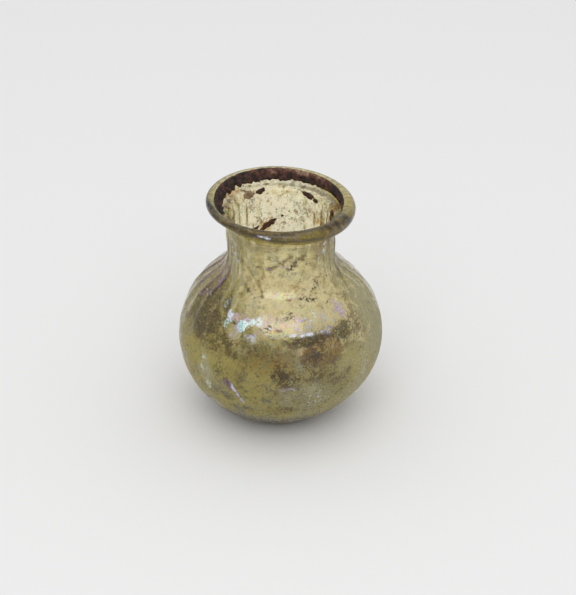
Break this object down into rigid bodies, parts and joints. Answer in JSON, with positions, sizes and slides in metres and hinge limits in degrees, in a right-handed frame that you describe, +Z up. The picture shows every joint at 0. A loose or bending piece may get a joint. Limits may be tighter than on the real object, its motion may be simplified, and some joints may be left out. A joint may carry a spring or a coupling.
{
  "type": "glass flask",
  "caption": "Small ancient globular flask of thin weathered yellow-green glass, with a ribbed neck and a flared, rolled rim.",
  "frame": {"origin": "on the surface that the flask stands on, below the middle of its bounding box", "axes": "+Z up along the neck, +X to the right and -Y towards the side that the picture shows"},
  "size_m": [0.062, 0.062, 0.0717],
  "materials": {
    "weathered_glass": "yellow-green blown glass, see-through, with iridescent film, brown speckle and crust",
    "burial_crust": "dull brown-black mineral crust inside the mouth"
  },
  "bodies": {
    "root": {"flask": "weathered_glass"}
  },
  "joints": []
}
